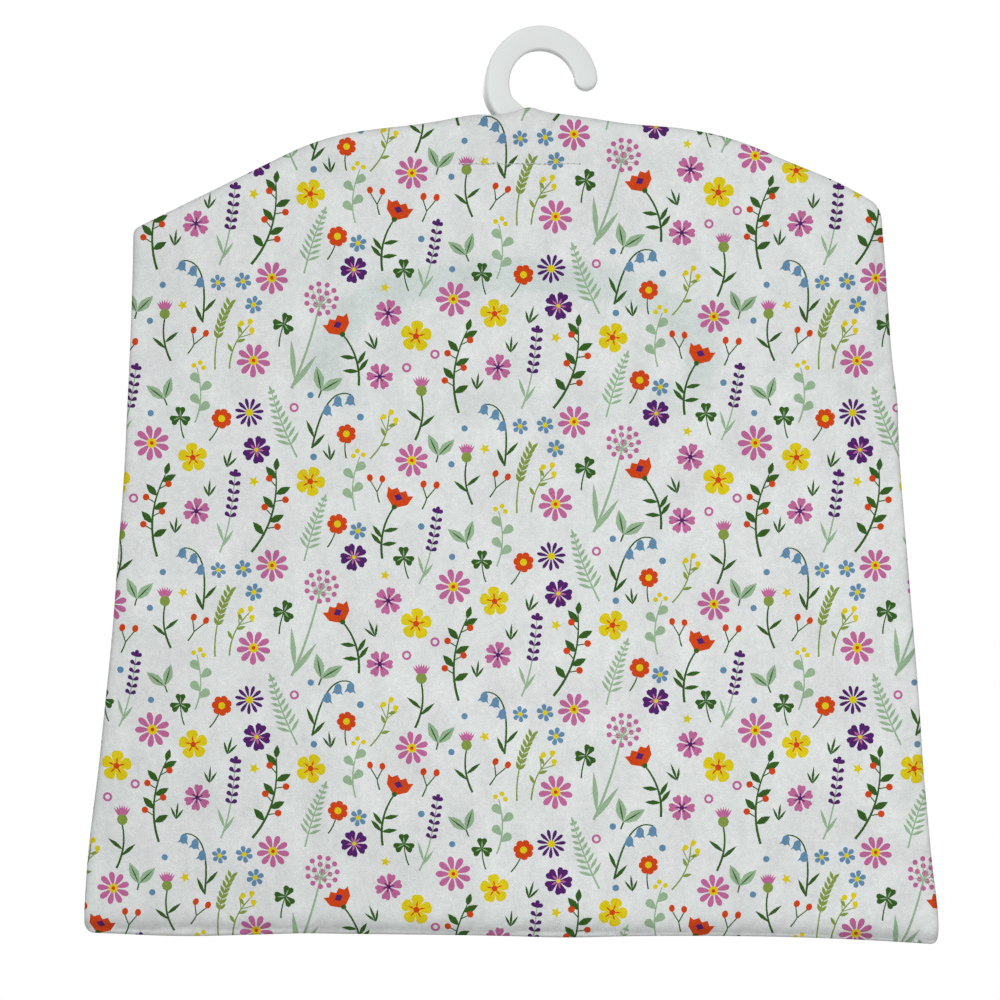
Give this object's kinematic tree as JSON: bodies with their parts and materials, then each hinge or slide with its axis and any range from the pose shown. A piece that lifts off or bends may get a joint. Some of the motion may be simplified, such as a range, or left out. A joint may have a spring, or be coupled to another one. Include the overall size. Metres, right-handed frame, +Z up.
{
  "type": "peg bag",
  "caption": "Cloth peg bag on a child-size plastic hanger: hook above, shaped shoulders, a bound oval mouth on one side and a deep flat pocket.",
  "frame": {"origin": "middle of the level face inside the top of the hook, which bears on the line", "axes": "+Z up, -Y towards the plain back of the bag, +Y towards the side with the mouth, +X to the right seen from the back"},
  "size_m": [0.351, 0.0248, 0.3771],
  "materials": {
    "hanger_plastic": "white moulded plastic with a soft sheen",
    "printed_cloth": "white cotton twill with a small wildflower print",
    "binding_tape": "green cotton bias tape, folded and top-stitched",
    "seam_allowance": "reverse of the white twill, zigzag-edged",
    "sewing_thread": "spun polyester thread"
  },
  "bodies": {
    "hanger": {"hanger": "hanger_plastic"},
    "bag": {"rear_panel": "printed_cloth", "front_panel": "printed_cloth", "mouth_binding_arch": "binding_tape", "binding_stitching_arch": "sewing_thread", "side_seam_left": "seam_allowance", "side_seam_right": "seam_allowance", "bottom_seam": "seam_allowance", "shoulder_seam_left": "seam_allowance", "shoulder_seam_right": "seam_allowance", "keeper_stitching": "sewing_thread"},
    "mouth_lip": {"front_lip_panel": "printed_cloth", "mouth_binding_lip": "binding_tape", "binding_stitching_lip": "sewing_thread"}
  },
  "joints": [
    {"name": "bag_lift", "type": "slide", "parent": "hanger", "child": "bag", "axis": [0, 0, 1], "range_m": [0, 0.0022]},
    {"name": "mouth_lip_open", "type": "hinge", "parent": "bag", "child": "mouth_lip", "pos_m": [-0.011, -0.00225, -0.3635], "axis": [-1, 0, 0], "range_deg": [0, 10], "stiffness_Nm_per_rad": 0.03, "springref_deg": -8.59}
  ]
}
